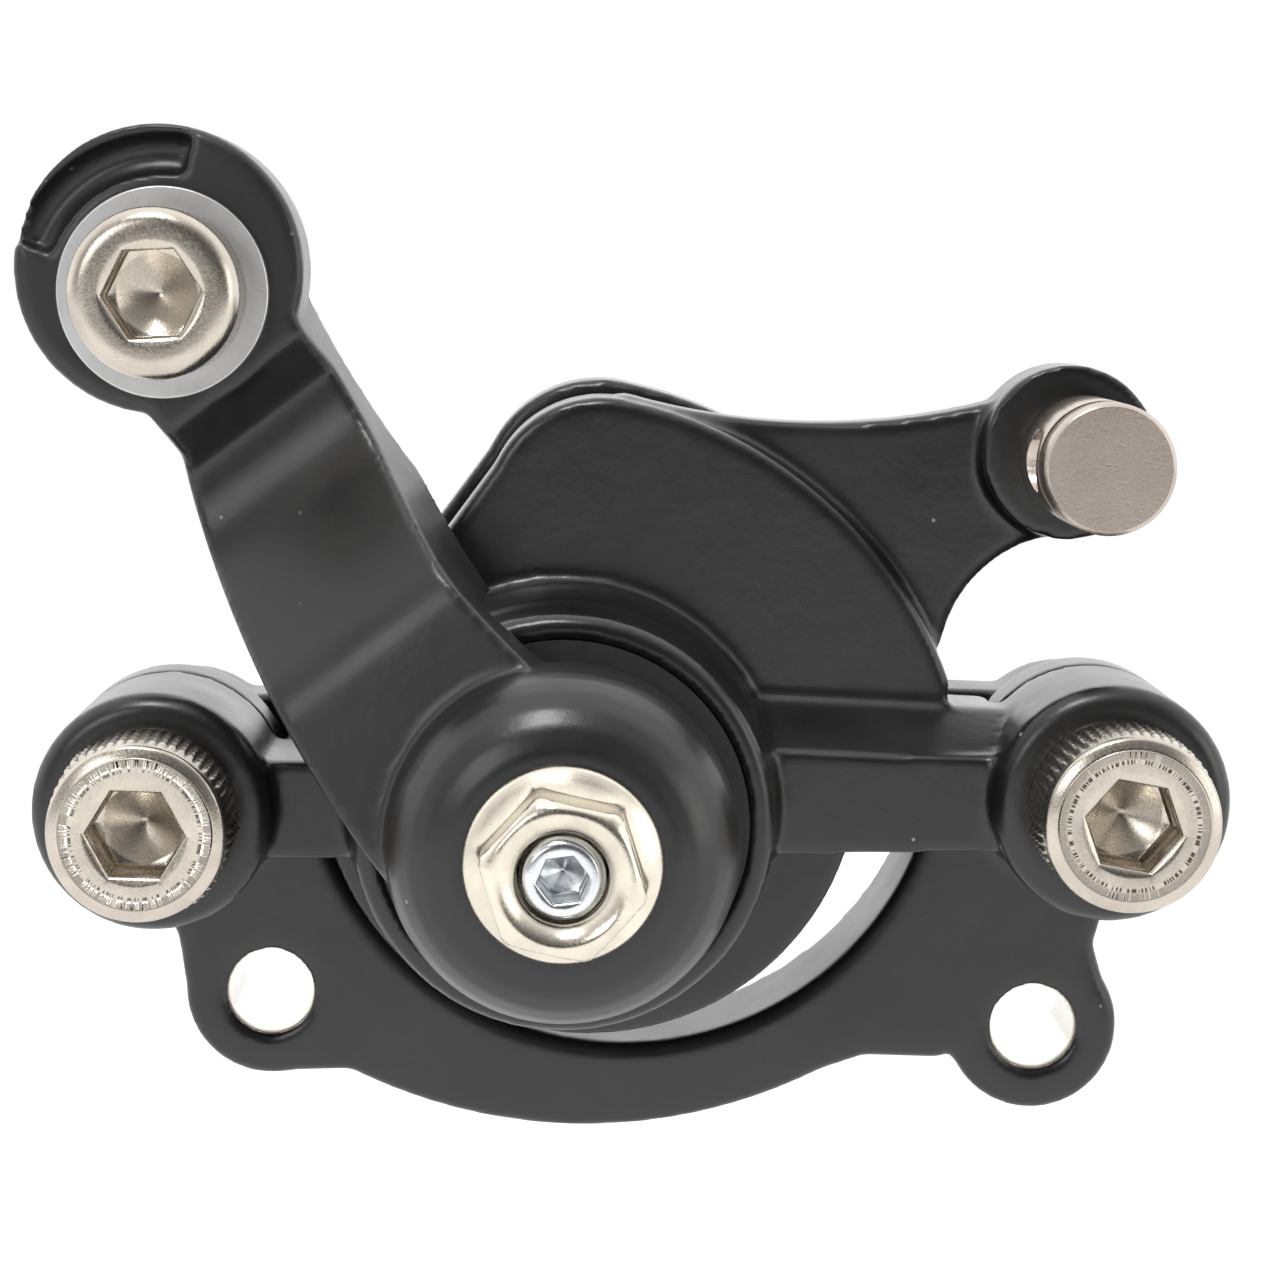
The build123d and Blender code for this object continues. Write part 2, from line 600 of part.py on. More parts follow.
# ---- Cable stop: swivelling pin with a stepped cross hole, washer and retaining ring ----
pin_base = ear_boss_front + pin_base_play
groove_front = pin_front - pin_head_height
hole_distance = groove_front - pin_groove_width - cable_housing_radius - pin_hole_margin
ring_back = outer_back + ring_inset
ring_slot_front = ring_back + ring_slot_height
stop_washer_back = ring_slot_front + ring_play
pin_slot_radius = pin_shank_radius - ring_slot_depth
pin_end = outer_back + pin_end_inset
with BuildPart() as cable_stop_pin:
    revolve(turned_profile(ear, ((0, pin_end), (pin_shank_radius, pin_end), (pin_shank_radius, ring_back),
                                 (pin_slot_radius, ring_back), (pin_slot_radius, ring_slot_front),
                                 (pin_shank_radius, ring_slot_front), (pin_shank_radius, pin_base),
                                 (pin_radius, pin_base), (pin_radius, groove_front - pin_groove_width),
                                 (pin_radius - pin_groove_depth, groove_front - pin_groove_width),
                                 (pin_radius - pin_groove_depth, groove_front),
                                 (pin_radius, groove_front), (pin_radius, pin_front - 0.3),
                                 (pin_radius - 0.3, pin_front), (0, pin_front))), axis=turning_axis(ear))
    with BuildSketch(Plane.YZ.offset(ear[0] + pin_radius)):
        with Locations((-hole_distance, ear[1])):
            Circle(cable_housing_radius)
    extrude(amount=-pin_radius - 1.5, mode=Mode.SUBTRACT)
    with BuildSketch(Plane.YZ.offset(ear[0] + pin_radius)):
        with Locations((-hole_distance, ear[1])):
            Circle(cable_radius)
    extrude(amount=-2 * pin_radius, mode=Mode.SUBTRACT)
    with BuildSketch(Plane.YZ.offset(ear[0] - pin_radius)):
        with Locations((-hole_distance, ear[1])):
            Circle(cable_housing_radius - 0.2)
    extrude(amount=2.2, mode=Mode.SUBTRACT)
cable_stop_pin.part.label = "cable_stop_pin"

with BuildPart() as cable_stop_ring:
    extrude(round_face(ear, pin_shank_radius + ring_room - ring_edge_room, ring_back + ring_play,
                       pin_slot_radius + running_clearance), amount=ring_slot_height - 2 * ring_play)
cable_stop_ring.part.label = "cable_stop_ring"

with BuildPart() as cable_stop_washer:
    extrude(round_face(ear, pin_shank_radius + ring_room - ring_edge_room, stop_washer_back,
                       pin_shank_radius + 2 * running_clearance),
            amount=outer_back + ring_recess - stop_washer_back)
cable_stop_washer.part.label = "cable_stop_washer"

os.makedirs("parts", exist_ok=True)
pieces = (inner_housing, outer_housing, housing_screw_left, housing_screw_right, helix_sleeve, return_spring,
          dust_seal, fixed_pad_backing, fixed_pad_lining, fixed_pad_magnet, moving_pad_lining,
          moving_pad_backing, thrust_button, lever_arm, spindle, lock_nut, cable_clamp_washer,
          cable_clamp_bolt, cable_clamp_nut, adjuster_screw, cable_stop_pin, cable_stop_ring,
          cable_stop_washer)
for piece in pieces:
    export_step(piece.part, f"parts/{piece.part.label}.step")
    print(piece.part.label, "solids", len(piece.part.solids()), "volume", round(piece.part.volume, 1))
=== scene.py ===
# %% [markdown]
# # A cable disc brake caliper
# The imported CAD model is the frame: every casting, screw and pad already stands where it belongs, in
# metres. This lesson gives it the look of the real thing: softly rounded castings in satin black paint,
# knurled nickel screws, a flange nut, a bright set screw and a swivelling cable stop.

# %% Load the frame
import math

import bpy
import numpy as np
from mathutils import Matrix, Vector


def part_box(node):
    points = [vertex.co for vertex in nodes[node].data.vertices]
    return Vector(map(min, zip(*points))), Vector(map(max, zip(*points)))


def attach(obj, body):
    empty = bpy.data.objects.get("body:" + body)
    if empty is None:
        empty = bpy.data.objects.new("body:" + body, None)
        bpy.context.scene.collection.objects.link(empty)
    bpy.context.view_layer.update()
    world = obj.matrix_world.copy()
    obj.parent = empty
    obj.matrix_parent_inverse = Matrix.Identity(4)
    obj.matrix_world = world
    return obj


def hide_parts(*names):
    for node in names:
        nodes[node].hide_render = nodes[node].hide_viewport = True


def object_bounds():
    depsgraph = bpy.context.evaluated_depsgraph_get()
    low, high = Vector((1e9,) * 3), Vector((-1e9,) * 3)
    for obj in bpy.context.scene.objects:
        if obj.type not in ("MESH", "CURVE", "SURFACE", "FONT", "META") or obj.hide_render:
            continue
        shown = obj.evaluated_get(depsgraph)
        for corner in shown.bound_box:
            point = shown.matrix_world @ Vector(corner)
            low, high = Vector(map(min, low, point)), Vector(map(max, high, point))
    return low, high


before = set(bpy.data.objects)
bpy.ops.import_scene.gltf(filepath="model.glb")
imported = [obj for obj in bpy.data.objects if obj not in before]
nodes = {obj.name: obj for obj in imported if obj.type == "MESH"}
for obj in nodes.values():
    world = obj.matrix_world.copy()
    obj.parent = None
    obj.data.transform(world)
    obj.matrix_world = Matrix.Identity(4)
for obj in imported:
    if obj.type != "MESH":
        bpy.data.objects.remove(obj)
cad_box = [list(corner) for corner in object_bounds()]
MM = 0.001
print("nodes:", len(nodes), "box in mm:", [[round(v / MM, 1) for v in corner] for corner in cad_box])

# %% [markdown]
# ## The camera
# Small parts like this are pictured from about a forearm's length, which makes the nut in front look
# clearly larger than the lugs behind. So the camera stands 245 mm in front of the mounting face, a
# little above, looks down by 7 degrees and is tilted sideways by 3, and its lens is a long one.

# %% Place the camera
camera_place = Vector((-9.9, -245.4, 58.0)) * MM
look_right, look_up, tilt = math.radians(1.73), math.radians(-6.95), math.radians(3.08)


def aim(right, up, roll):
    """Camera axes from three angles: turn right about Z, then up, then roll about the line of sight."""
    level = Matrix.Rotation(-right, 4, "Z") @ Matrix.Rotation(math.pi / 2 + up, 4, "X")
    return level @ Matrix.Rotation(roll, 4, "Z")


camera = bpy.data.objects.new("camera", bpy.data.cameras.new("camera"))
camera.matrix_world = Matrix.Translation(camera_place) @ aim(look_right, look_up, tilt)
camera.data.lens = 86.2
camera.data.sensor_width = 36.0
camera.data.clip_start = 0.01
bpy.context.collection.objects.link(camera)
bpy.context.scene.camera = camera
print("camera at", [round(v, 3) for v in camera_place])

# %% [markdown]
# ## Reading places from the frame
# Round parts are carried by the line through the middle of their box, so each screw's centre and its
# front and back come from its own node. The pieces made below are placed by these and nothing else.


# %% Centres and ends of round nodes
def middle(node):
    """Centre (x, z) of a node's box, in metres."""
    low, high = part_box(node)
    return np.array([(low[0] + high[0]) / 2, (low[2] + high[2]) / 2])


def front_and_back(node):
    """The two Y ends of a node: front is nearer the camera."""
    low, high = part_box(node)
    return low[1], high[1]


def width(node):
    """Size of a node along X."""
    low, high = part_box(node)
    return high[0] - low[0]


hub = middle("lock_nut")
print("hub axis in mm:", np.round(hub / MM, 2))

# %% [markdown]
# ## Node helpers
# A procedural material is a handful of noise textures and mixes joined together. These helpers keep
# each material short. All patterns read Object coordinates, and every finished object sits at the
# origin, so a speck of dust stays where it is on the metal.


# %% Small helpers for shader nodes
class Shader:
    """A material's node tree with short ways to add textures, maths and links."""

    def __init__(self, name):
        self.material = bpy.data.materials.new(name)
        self.material.use_nodes = True
        self.tree = self.material.node_tree
        self.surface = self.tree.nodes["Principled BSDF"]
        self.place = self.tree.nodes.new("ShaderNodeTexCoord").outputs["Object"]

    def feed(self, socket, value):
        """Link an output into a socket, or set the socket to a plain value."""
        if isinstance(value, bpy.types.NodeSocket):
            self.tree.links.new(value, socket)
        else:
            socket.default_value = value

    def noise(self, scale, detail=3.0, roughness=0.5):
        """Noise about 0.5, scale in waves per metre."""
        node = self.tree.nodes.new("ShaderNodeTexNoise")
        self.feed(node.inputs["Vector"], self.place)
        node.inputs["Scale"].default_value = scale
        node.inputs["Detail"].default_value = detail
        node.inputs["Roughness"].default_value = roughness
        return node.outputs["Fac"]

    def dots(self, scale):
        """Distance to the nearest of many scattered points, in units of their spacing."""
        node = self.tree.nodes.new("ShaderNodeTexVoronoi")
        self.feed(node.inputs["Vector"], self.place)
        node.inputs["Scale"].default_value = scale
        return node.outputs["Distance"]

    def span(self, value, low, high, to_low=0.0, to_high=1.0):
        """Map low..high onto to_low..to_high, clamped."""
        node = self.tree.nodes.new("ShaderNodeMapRange")
        self.feed(node.inputs["Value"], value)
        for name, number in (("From Min", low), ("From Max", high), ("To Min", to_low), ("To Max", to_high)):
            node.inputs[name].default_value = number
        return node.outputs["Result"]

    def maths(self, operation, first, second=0.0):
        """One Math node."""
        node = self.tree.nodes.new("ShaderNodeMath")
        node.operation = operation
        self.feed(node.inputs[0], first)
        self.feed(node.inputs[1], second)
        return node.outputs[0]

    def blend(self, share, first, second):
        """Mix two colours by share."""
        node = self.tree.nodes.new("ShaderNodeMix")
        node.data_type = "RGBA"
        self.feed(node.inputs["Factor"], share)
        self.feed(node.inputs["A"], first)
        self.feed(node.inputs["B"], second)
        return node.outputs["Result"]

    def relief(self, height, depth):
        """Bump from a height, depth in metres."""
        node = self.tree.nodes.new("ShaderNodeBump")
        node.inputs["Strength"].default_value = 1.0
        node.inputs["Distance"].default_value = depth
        self.feed(node.inputs["Height"], height)
        self.feed(self.surface.inputs["Normal"], node.outputs["Normal"])

    def set(self, **values):
        """Set the main shader's sockets by name, with spaces written as underscores."""
        for name, value in values.items():
            self.feed(self.surface.inputs[name.replace("_", " ")], value)


def grey(level, tint=(1.0, 1.0, 1.0)):
    """A colour of this level, tinted."""
    return (level * tint[0], level * tint[1], level * tint[2], 1.0)


# %% [markdown]
# ## Satin black paint
# The castings and the lever are powder coated. The coat is nearly black, a little blue, with a faint
# orange peel over slower swells, patches where it dried glossier, and a few pale specks of dust. Inside
# the two lug holes the drill has gone through the paint, so the material finds each hole by its
# distance from the hole's axis and shows bare metal there. The lever's coat is the duller of the two.


# %% Black paint, with bare lug holes
def distance_from_axis(shader, x, z):
    """Distance of a point from the front-to-back line through x, z."""
    split = shader.tree.nodes.new("ShaderNodeSeparateXYZ")
    shader.feed(split.inputs[0], shader.place)
    across = shader.maths("SUBTRACT", split.outputs["X"], x)
    up = shader.maths("SUBTRACT", split.outputs["Z"], z)
    squared = shader.maths("ADD", shader.maths("MULTIPLY", across, across), shader.maths("MULTIPLY", up, up))
    return shader.maths("SQRT", squared)


def black_paint(name, smooth, rough, holes=(), hole_radius=0.0):
    """Satin black powder coat whose roughness lies between smooth and rough, with bare metal inside the
    holes given by their centres."""
    shader = Shader(name)
    patches = shader.noise(90, 4, 0.55)
    swell = shader.noise(340, 2, 0.5)
    peel = shader.noise(1900, 2, 0.5)
    grain = shader.noise(7000, 2, 0.5)
    specks = shader.span(shader.dots(420), 0.045, 0.075, 1.0, 0.0)
    chosen = shader.span(shader.noise(260, 1), 0.6, 0.66)
    dust = shader.maths("MULTIPLY", specks, chosen)
    coat = shader.blend(patches, grey(0.0075, (0.96, 1.0, 1.07)), grey(0.0145, (0.97, 1.0, 1.05)))
    coat = shader.blend(dust, coat, grey(0.42, (1.0, 0.98, 0.94)))
    roughness = shader.span(patches, 0.35, 0.68, smooth, rough)
    bare = None
    for x, z in holes:
        inside = shader.span(distance_from_axis(shader, x, z), hole_radius, hole_radius + 0.06 * MM, 1.0, 0.0)
        bare = inside if bare is None else shader.maths("MAXIMUM", bare, inside)
    if bare is not None:
        coat = shader.blend(bare, coat, grey(0.72, (1.0, 0.97, 0.9)))
        roughness = shader.maths("SUBTRACT", roughness, shader.maths("MULTIPLY", bare, 0.12))
        shader.set(Metallic=bare)
    shader.set(Base_Color=coat, Roughness=roughness)
    shader.set(Specular_IOR_Level=0.5, Coat_Weight=0.25, Coat_Roughness=0.22)
    fine = shader.maths("ADD", peel, shader.maths("MULTIPLY", grain, 0.35))
    shader.relief(shader.maths("ADD", fine, shader.maths("MULTIPLY", swell, 4.0)), 0.014 * MM)
    return shader.material


lug_spacing = 60 * MM
lug_hole_radius = 3.3 * MM
lug_holes = [(-lug_spacing / 2, 0.0), (lug_spacing / 2, 0.0)]
paint_edge = 0.12 * MM
casting_paint = black_paint("casting_paint", smooth=0.27, rough=0.4, holes=lug_holes,
                            hole_radius=lug_hole_radius + paint_edge)
lever_paint = black_paint("lever_paint", smooth=0.34, rough=0.46)
print("paint:", casting_paint.name, lever_paint.name)

# %% [markdown]
# ## Plated and bare metals
# The cap screws, the nut and the cable stop are nickel plated, which is warmer than steel. Plating is
# never a perfect mirror: it carries fine pits, a faint haze and slow changes of shade. One function
# makes all the metals, and the values say how warm, how bright and how hazy each is.


# %% Metals
def plated(name, colour, roughness, haze=0.12, pits=0.006, shade=0.75):
    """Metal with slow changes of shade, hazy patches and fine pits."""
    shader = Shader(name)
    clouds = shader.noise(260, 4, 0.6)
    fine = shader.noise(5200, 3, 0.6)
    darker = tuple(part * shade for part in colour[:3]) + (1.0,)
    tone = shader.blend(shader.span(clouds, 0.3, 0.7), darker, colour)
    pit = shader.span(shader.dots(2600), 0.1, 0.22, 1.0, 0.0)
    some = shader.span(shader.noise(1500, 2), 0.55, 0.62)
    spots = shader.maths("MULTIPLY", pit, some)
    tone = shader.blend(shader.maths("MULTIPLY", spots, 0.35), tone, grey(0.25, (1.0, 0.93, 0.82)))
    shader.set(Base_Color=tone, Metallic=1.0)
    shader.set(Roughness=shader.span(fine, 0.3, 0.7, max(roughness - haze / 2, 0.04), roughness + haze / 2))
    shader.relief(shader.maths("SUBTRACT", fine, spots), pits * MM)
    return shader.material


nickel = plated("warm_nickel", grey(0.62, (1.0, 0.91, 0.79)), roughness=0.26)
nut_nickel = plated("nut_nickel", grey(0.8, (1.0, 0.92, 0.78)), roughness=0.24, haze=0.1)
pin_nickel = plated("pin_nickel", grey(0.56, (1.0, 0.87, 0.77)), roughness=0.3, haze=0.1, pits=0.01,
                    shade=0.85)
zinc = plated("bright_zinc", grey(0.8, (0.97, 1.0, 1.03)), roughness=0.22, haze=0.1)
washer_zinc = plated("washer_zinc", grey(0.6), roughness=0.42, haze=0.14, pits=0.008, shade=0.88)
dull_steel = plated("dull_steel", grey(0.5, (1.0, 0.99, 0.97)), roughness=0.36, haze=0.14)
print("metals ready")

# %% [markdown]
# ## Friction lining and rubber
# The lining is a pressed mix of fibres and grit with glints of metal in it. The dust seal is matt
# rubber. Both are small, so a noise for the colour and another for the relief is enough.


# %% Lining and rubber
def lining():
    """Brown-grey friction mix with bright metal flecks."""
    shader = Shader("friction_lining")
    grit = shader.noise(1800, 5, 0.7)
    flecks = shader.span(shader.dots(1500), 0.1, 0.17, 1.0, 0.0)
    tone = shader.blend(grit, grey(0.035, (1.0, 0.9, 0.8)), grey(0.14, (1.0, 0.9, 0.78)))
    shader.set(Base_Color=shader.blend(flecks, tone, grey(0.5, (1.0, 0.85, 0.6))), Roughness=0.85)
    shader.relief(grit, 0.08 * MM)
    return shader.material


def seal_rubber():
    """Matt black rubber."""
    shader = Shader("seal_rubber")
    bloom = shader.noise(900, 4, 0.6)
    shader.set(Base_Color=shader.blend(bloom, grey(0.012), grey(0.035)), Roughness=0.65)
    shader.relief(bloom, 0.02 * MM)
    return shader.material


lining_mix, rubber = lining(), seal_rubber()

# %% [markdown]
# ## Castings with soft edges
# A die casting has no sharp edges: metal can't fill them, and the paint rounds them further. The CAD
# solids are crisp, so each casting is remade here as a fine voxel skin of its own CAD shape, which is
# then relaxed a few times. Convex edges round over and inner corners fill with a small fillet, as in
# the mould. It stays within the CAD shape, so holes and seats keep their places.


# %% Soft castings from the CAD solids
def soft_casting(node, voxel, passes, paint, body):
    """Voxel skin of a CAD node, relaxed, standing for the node."""
    source = nodes[node].copy()
    source.data = nodes[node].data.copy()
    source.parent = None
    source.matrix_world = Matrix.Identity(4)
    bpy.context.collection.objects.link(source)
    weld = source.modifiers.new("weld", "WELD")
    weld.merge_threshold = 1e-6
    skin = source.modifiers.new("skin", "REMESH")
    skin.mode = "VOXEL"
    skin.voxel_size = voxel
    skin.use_smooth_shade = True
    relax = source.modifiers.new("relax", "SMOOTH")
    relax.factor = 0.5
    relax.iterations = passes
    bpy.context.view_layer.update()
    mesh = bpy.data.meshes.new_from_object(source.evaluated_get(bpy.context.evaluated_depsgraph_get()))
    bpy.data.objects.remove(source)
    mesh.materials.clear()
    mesh.materials.append(paint)
    mesh.shade_smooth()
    piece = bpy.data.objects.new(node + "_skin", mesh)
    bpy.context.collection.objects.link(piece)
    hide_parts(node)
    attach(piece, body)
    print(piece.name, len(mesh.polygons) * 2, "triangles")
    return piece


soft_casting("outer_housing", voxel=0.42 * MM, passes=4, paint=casting_paint, body="housing")
soft_casting("inner_housing", voxel=0.46 * MM, passes=4, paint=casting_paint, body="housing")
soft_casting("lever_arm", voxel=0.32 * MM, passes=6, paint=lever_paint, body="lever")

# %% [markdown]
# ## Round parts from one grid
# Screws and nuts are almost surfaces of revolution: walk along a profile of rings and turn each ring
# about the axis. What isn't round, such as a hexagon or a knurl, is only a ring whose radius changes
# with the angle. So one grid function makes them all: ring i and angle j give a radius and a height.


# %% Grid surfaces about an axis
def angles(count):
    """Evenly spaced angles round a circle."""
    return np.arange(count) * (2 * np.pi / count)


def hexagon(across_flats, turn, theta):
    """Radius of a hexagon at each angle: half its width over the cosine of the angle from a flat."""
    from_flat = np.mod(theta - turn, np.pi / 3) - np.pi / 6
    return across_flats / 2 / np.cos(from_flat)


def turned_piece(name, centre, radii, heights, material, body, replaces=()):
    """Closed surface about the front-to-back line at centre. radii and heights are arrays of rings by
    angles; height is the Y coordinate, and the first and last rings are closed by a point each."""
    rings, count = radii.shape
    theta = angles(count)[None, :]
    points = np.stack([centre[0] + radii * np.cos(theta), heights, centre[1] + radii * np.sin(theta)], -1)
    ends = [[centre[0], heights[0].mean(), centre[1]], [centre[0], heights[-1].mean(), centre[1]]]
    vertices = np.concatenate([points.reshape(-1, 3), ends])
    ring, step = np.meshgrid(np.arange(rings - 1), np.arange(count), indexing="ij")
    after = (step + 1) % count
    quads = np.stack([ring * count + step, ring * count + after,
                      (ring + 1) * count + after, (ring + 1) * count + step], -1).reshape(-1, 4)
    around = np.arange(count)
    following = (around + 1) % count
    first, last = rings * count, rings * count + 1
    final_ring = (rings - 1) * count
    start = np.stack([np.full(count, first), following, around], -1)
    finish = np.stack([np.full(count, last), final_ring + around, final_ring + following], -1)
    mesh = bpy.data.meshes.new(name)
    mesh.from_pydata(vertices.tolist(), [], quads.tolist() + start.tolist() + finish.tolist())
    mesh.materials.append(material)
    mesh.shade_smooth()
    mesh.update()
    piece = bpy.data.objects.new(name, mesh)
    bpy.context.collection.objects.link(piece)
    if replaces:
        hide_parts(*replaces)
    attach(piece, body)
    print(name, len(mesh.polygons), "faces")
    return piece


def rings_of(profile, count):
    """Rings by angles arrays from a list of (radius, height); a radius may be an array over the angles."""
    radii = np.array([np.broadcast_to(np.asarray(radius, float), (count,)) for radius, height in profile])
    heights = np.array([np.broadcast_to(np.asarray(height, float), (count,)) for radius, height in profile])
    return radii, heights


def rounded(corner_in, corner, corner_out, size, steps=5):
    """Points of a small arc that replaces a corner of a profile, given its neighbours."""
    before, at, after = (np.array(point, float) for point in (corner_in, corner, corner_out))
    first = at + (before - at) * min(size / np.linalg.norm(before - at), 0.5)
    second = at + (after - at) * min(size / np.linalg.norm(after - at), 0.5)
    share = np.linspace(0, 1, steps)[:, None]
    curve = (1 - share) ** 2 * first + 2 * share * (1 - share) * at + share ** 2 * second
    return [tuple(point) for point in curve]


# %% [markdown]
# ## Knurled cap screws
# The knurl is rolled into the head's side as rows of small teeth that a wrench or a finger can grip.
# It could be a bump map, but its teeth show against the white background, so they are real relief: the
# head's radius rises and falls with the angle, and fades out at the two ends of the rolled band. Each
# head then turns into its chamfer, its flat face and a hexagon socket with a drilled cone at the bottom.


# %% Build the two housing screws
def socket_rings(depth, front, across_flats, turn, theta, lip):
    """Profile from a flat face into a hexagon socket that ends in a drill point."""
    wall = hexagon(across_flats, turn, theta)
    mouth = across_flats / 2 * 1.15 + lip
    drill = across_flats / 2
    return [(mouth, front), (np.minimum(wall + lip * 0.5, mouth - 1e-5), front + lip * 0.12),
            (wall, front + lip), (wall, front + depth * 0.5), (wall, front + depth - 0.02 * MM),
            (wall * 0.985, front + depth), (drill * 0.97, front + depth + 0.03 * MM),
            (drill * 0.93, front + depth + drill * 0.04), (drill * 0.5, front + depth + drill * 0.26),
            (drill * 0.12, front + depth + drill * 0.43), (drill * 0.03, front + depth + drill * 0.45)]


def knurled_screw(node, turn, seed):
    """Knurled socket cap screw in place of a plain one."""
    count = 432
    theta = angles(count)
    centre = middle(node)
    front, back = front_and_back(node)
    radius, height = width(node) / 2, 8.0 * MM
    teeth, relief = 54, 0.32 * MM
    random = np.random.default_rng(seed)
    wear = 1 + 0.25 * np.interp(theta, angles(24), random.normal(size=24), period=2 * np.pi)
    tooth = np.abs(np.sin(theta * teeth / 2)) ** 0.75 * relief * wear
    shank = 4.0 * MM
    seat = front + height
    profile = [(shank * 0.8, back), (shank, back - 0.7 * MM), (shank, seat)]
    profile += [(radius - relief * 1.5, seat), (radius - relief * 1.2, seat - 0.15 * MM)]
    for part in np.linspace(0, 1, 14):
        fade = min(1.0, min(part, 1 - part) * 9)
        ripple = 0.75 + 0.25 * np.cos(part * 9 * np.pi)
        along = seat - 0.35 * MM - part * (height - 1.7 * MM)
        profile.append((radius - relief * 1.05 + (tooth - relief * 0.2) * fade * ripple, along))
    edge = radius - 0.35 * MM
    profile += rounded((edge, front + 1.2 * MM), (edge, front + 0.35 * MM),
                       (edge - 0.5 * MM, front + 0.1 * MM), size=0.3 * MM, steps=4)
    profile += rounded((edge - 0.3 * MM, front + 0.3 * MM), (edge - 0.75 * MM, front), (0, front),
                       size=0.25 * MM, steps=4)
    profile += [(radius * 0.8, front), (radius * 0.66, front)]
    profile += socket_rings(4.5 * MM, front, 6.0 * MM, turn, theta, lip=0.35 * MM)
    radii, heights = rings_of(profile, count)
    return turned_piece(node + "_knurled", centre, radii, heights, nickel, "housing", [node])


knurled_screw("housing_screw_left", turn=math.radians(1), seed=3)
knurled_screw("housing_screw_right", turn=math.radians(-8), seed=5)

# %% [markdown]
# ## Cable clamp bolt
# This head is smooth: a turned cylinder whose front edge is rolled over generously, with a 6 mm socket.


# %% Build the clamp bolt
def clamp_bolt():
    """Smooth socket head with a wide rounded edge, and its shank."""
    node = "cable_clamp_bolt"
    count = 144
    theta = angles(count)
    front, back = front_and_back(node)
    radius, height, shank = width(node) / 2, 6.0 * MM, 3.0 * MM
    seat = front + height
    profile = [(shank * 0.8, back), (shank, back - 0.5 * MM), (shank, seat), (radius - 0.15 * MM, seat),
               (radius, seat - 0.2 * MM), (radius, seat - height * 0.4)]
    profile += rounded((radius, seat), (radius, front), (0, front), size=1.5 * MM, steps=9)
    profile += [(radius * 0.68, front)]
    profile += socket_rings(3.2 * MM, front, 6.0 * MM, math.radians(6), theta, lip=0.3 * MM)
    radii, heights = rings_of(profile, count)
    return turned_piece("clamp_bolt_smooth", middle(node), radii, heights, nickel, "lever", [node])


clamp_bolt()

# %% [markdown]
# ## Flange nut
# A nut is a hexagon cut back by a cone at its top, which leaves the curved line on each flat. In the
# grid that is one rule: at each height the radius is the smaller of the hexagon and the cone. Below it
# the flange is another cone that runs out to a thin round edge.


# %% Build the flange nut
def flange_nut():
    """Hexagon nut with a sloped flange and a chamfered thread mouth."""
    node = "lock_nut"
    count = 288
    theta = angles(count)
    front, back = front_and_back(node)
    flange = width(node) / 2
    corner_limit = 5.62 * MM
    hex_wall = np.minimum(hexagon(10.0 * MM, math.radians(50), theta), corner_limit)
    bore = 3.1 * MM
    profile = [(bore, back - 0.5 * MM), (bore, back), (flange - 0.2 * MM, back), (flange, back - 0.2 * MM),
               (flange, back - 0.5 * MM), (flange - 0.25 * MM, back - 0.75 * MM)]
    profile += [(np.maximum(hex_wall, 6.0 * MM), back - 1.1 * MM), (hex_wall + 0.12 * MM, back - 1.6 * MM),
                (hex_wall, back - 1.9 * MM)]
    for part in np.linspace(0.15, 1, 12):
        level = back - 1.9 * MM - part * (back - 1.9 * MM - front)
        cone = 4.75 * MM + (level - front) * 1.55
        profile.append((np.minimum(hex_wall, cone), level))
    profile += [(4.4 * MM, front), (4.15 * MM, front + 0.02 * MM), (bore + 0.25 * MM, front + 0.7 * MM),
                (bore, front + 1.0 * MM), (bore, back - 0.5 * MM)]
    radii, heights = rings_of(profile, count)
    return turned_piece("flange_nut", middle(node), radii, heights, nut_nickel, "lever", [node])


flange_nut()

# %% [markdown]
# ## Set screw
# Only its end shows, but the thread runs up into the nut's mouth. The thread is a ridge whose height
# follows the angle: one pitch further for each full turn.


# %% Build the adjuster screw
def adjuster_screw():
    """Set screw with a real thread near its front end and a 3 mm socket."""
    node = "adjuster_screw"
    count = 96
    theta = angles(count)
    front, back = front_and_back(node)
    radius, pitch = 3.0 * MM, 1.0 * MM
    profile = [(radius - 1.0 * MM, back), (radius - 0.1 * MM, back - 1.0 * MM)]
    threaded = 6.0 * MM
    for part in np.linspace(0, 1, 49):
        level = front + threaded - part * (threaded - 0.5 * MM)
        wave = np.abs(np.mod(level / pitch + theta / (2 * np.pi), 1.0) * 2 - 1)
        profile.append((radius - 0.05 * MM - 0.5 * MM * wave * min(1.0, part * 8), level))
    profile += [(radius - 0.5 * MM, front + 0.1 * MM), (radius - 0.75 * MM, front)]
    profile += socket_rings(3.0 * MM, front, 3.0 * MM, math.radians(10), theta, lip=0.2 * MM)
    radii, heights = rings_of(profile, count)
    return turned_piece("set_screw", middle(node), radii, heights, zinc, "adjuster", [node])


adjuster_screw()

# %% [markdown]
# ## The pieces that keep their CAD shape
# The washer, the cable stop, the clamp nut, the pads and the inner parts are right as they are. They
# get their finish, and the washer, the clamp nut, the cable stop pin and the pad backings a small bevel so
# that their edges catch the light.

# %% Finish the CAD nodes
finishes = {
    "cable_clamp_washer": washer_zinc, "cable_clamp_nut": nickel, "cable_stop_pin": pin_nickel,
    "cable_stop_ring": dull_steel, "cable_stop_washer": dull_steel, "spindle": dull_steel,
    "helix_sleeve": dull_steel, "return_spring": dull_steel, "dust_seal": rubber,
    "fixed_pad_backing": dull_steel, "fixed_pad_lining": lining_mix, "fixed_pad_magnet": zinc,
    "moving_pad_backing": dull_steel, "moving_pad_lining": lining_mix, "thrust_button": dull_steel,
}
edge_breaks = {"cable_clamp_washer": 0.15, "cable_clamp_nut": 0.15, "cable_stop_pin": 0.12,
               "fixed_pad_backing": 0.15, "moving_pad_backing": 0.15}


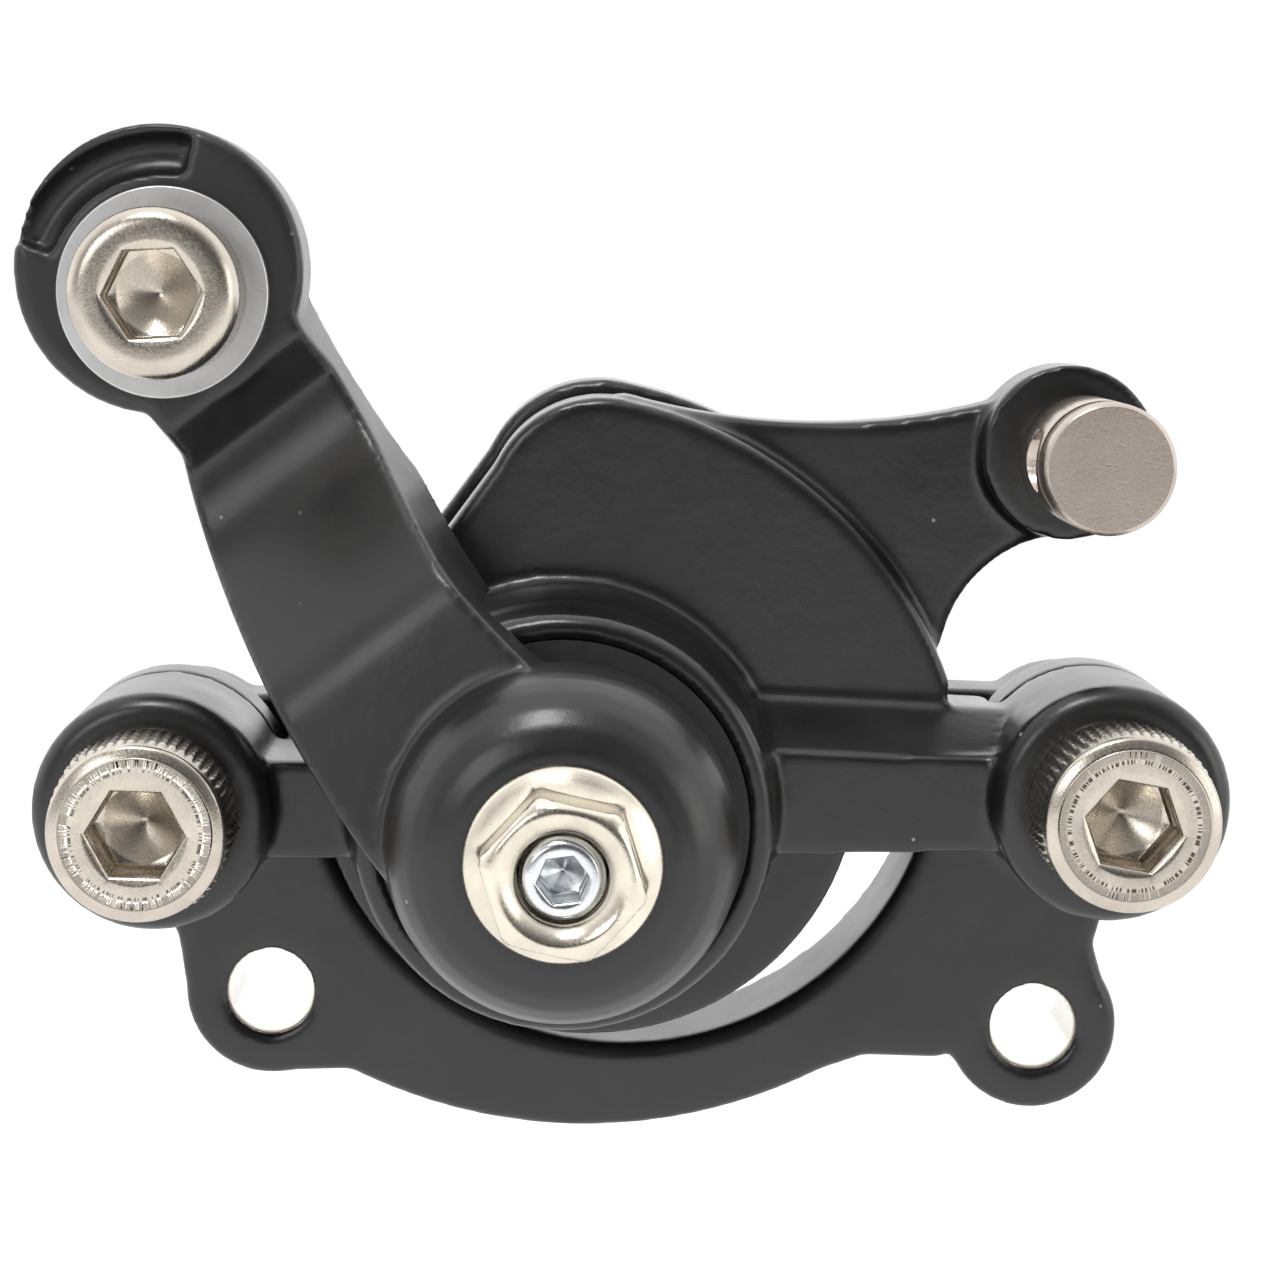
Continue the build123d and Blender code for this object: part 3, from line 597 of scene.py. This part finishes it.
def break_edges(piece, size):
    """Weld the CAD triangles and bevel the sharp edges by size."""
    weld = piece.modifiers.new("weld", "WELD")
    weld.merge_threshold = 1e-6
    bevel = piece.modifiers.new("edge_break", "BEVEL")
    bevel.width = size
    bevel.segments = 2
    bevel.limit_method = "ANGLE"
    bevel.angle_limit = math.radians(35)
    bevel.harden_normals = True


for name, finish in finishes.items():
    piece = nodes[name]
    piece.data.materials.clear()
    piece.data.materials.append(finish)
    if name in edge_breaks:
        break_edges(piece, edge_breaks[name] * MM)
print("finished", len(finishes), "CAD nodes")

# %% [markdown]
# ## Floor, backdrop and light
# A part like this is pictured on plain white. The world is white to the camera. Reflections see it
# bright behind the part, which gives upward faces their pale sheen, and dim in front, which keeps the
# black paint black. A small strong lamp above the front draws the highlights along the bends, and a
# soft one to the left makes that side a little brighter.


# %% Stage
def studio_sky(tree, ambient, front_level, back_level):
    """World that is white to camera and transmission rays. Reflections see it white behind the part and
    dimmer in front of it, and as a light it is ambient all round."""
    def node(kind, **inputs):
        made = tree.nodes.new(kind)
        for name, value in inputs.items():
            made.inputs[name.replace("_", " ")].default_value = value
        return made

    path = node("ShaderNodeLightPath")
    direction = node("ShaderNodeSeparateXYZ")
    tree.links.new(node("ShaderNodeTexCoord").outputs["Generated"], direction.inputs[0])
    depth = node("ShaderNodeMapRange", From_Min=-0.95, From_Max=0.1, To_Min=front_level, To_Max=back_level)
    depth.interpolation_type = "SMOOTHSTEP"
    tree.links.new(direction.outputs["Y"], depth.inputs["Value"])
    glossy = node("ShaderNodeMix", A=ambient)
    tree.links.new(path.outputs["Is Glossy Ray"], glossy.inputs["Factor"])
    tree.links.new(depth.outputs["Result"], glossy.inputs["B"])
    seen = node("ShaderNodeMath")
    seen.operation = "MAXIMUM"
    tree.links.new(path.outputs["Is Camera Ray"], seen.inputs[0])
    tree.links.new(path.outputs["Is Transmission Ray"], seen.inputs[1])
    level = node("ShaderNodeMix", B=1.0)
    tree.links.new(seen.outputs[0], level.inputs["Factor"])
    tree.links.new(glossy.outputs["Result"], level.inputs["A"])
    tree.links.new(level.outputs["Result"], tree.nodes["Background"].inputs["Strength"])
    tree.nodes["Background"].inputs["Color"].default_value = (1, 1, 1, 1)


world = bpy.data.worlds.new("studio")
bpy.context.scene.world = world
world.use_nodes = True
studio_sky(world.node_tree, ambient=0.16, front_level=0.09, back_level=1.5)


def floor():
    """Floor below the part that looks white itself and takes the part's shadow as a little less light."""
    reach, gap, glow = 1.5, 0.03, 0.9
    level = cad_box[0][2] - gap
    mesh = bpy.data.meshes.new("floor")
    corners = [(-reach, -reach, level), (reach, -reach, level), (reach, reach, level), (-reach, reach, level)]
    mesh.from_pydata(corners, [], [(0, 1, 2, 3)])
    shader = Shader("pale_floor")
    path = shader.tree.nodes.new("ShaderNodeLightPath")
    seen = shader.maths("MAXIMUM", path.outputs["Is Camera Ray"], path.outputs["Is Glossy Ray"])
    seen = shader.maths("MAXIMUM", seen, path.outputs["Is Transmission Ray"])
    shader.set(Base_Color=grey(0.85), Roughness=0.9, Specular_IOR_Level=0.0)
    shader.set(Emission_Color=grey(1.0), Emission_Strength=shader.maths("MULTIPLY", seen, glow))
    mesh.materials.append(shader.material)
    piece = bpy.data.objects.new("floor", mesh)
    bpy.context.collection.objects.link(piece)


floor()


def soft_lamp(name, place, aim_at, size, power, colour=(1.0, 1.0, 1.0)):
    """Square area lamp that points from place to aim_at."""
    light = bpy.data.lights.new(name, "AREA")
    light.size = size
    light.energy = power
    light.color = colour
    lamp = bpy.data.objects.new(name, light)
    lamp.location = Vector(place)
    lamp.rotation_euler = (Vector(aim_at) - Vector(place)).to_track_quat("-Z", "Y").to_euler()
    bpy.context.collection.objects.link(lamp)


target = (0.0, 0.0, 0.02)
soft_lamp("sky_panel", (-0.12, -0.3, 0.52), target, size=0.14, power=1.3)
soft_lamp("left_window", (-0.3, -0.52, 0.22), target, size=0.2, power=0.55)
soft_lamp("right_fill", (0.5, -0.3, 0.15), target, size=0.3, power=0.5, colour=(1.0, 0.97, 0.93))
bpy.context.scene.view_settings.view_transform = "Standard"
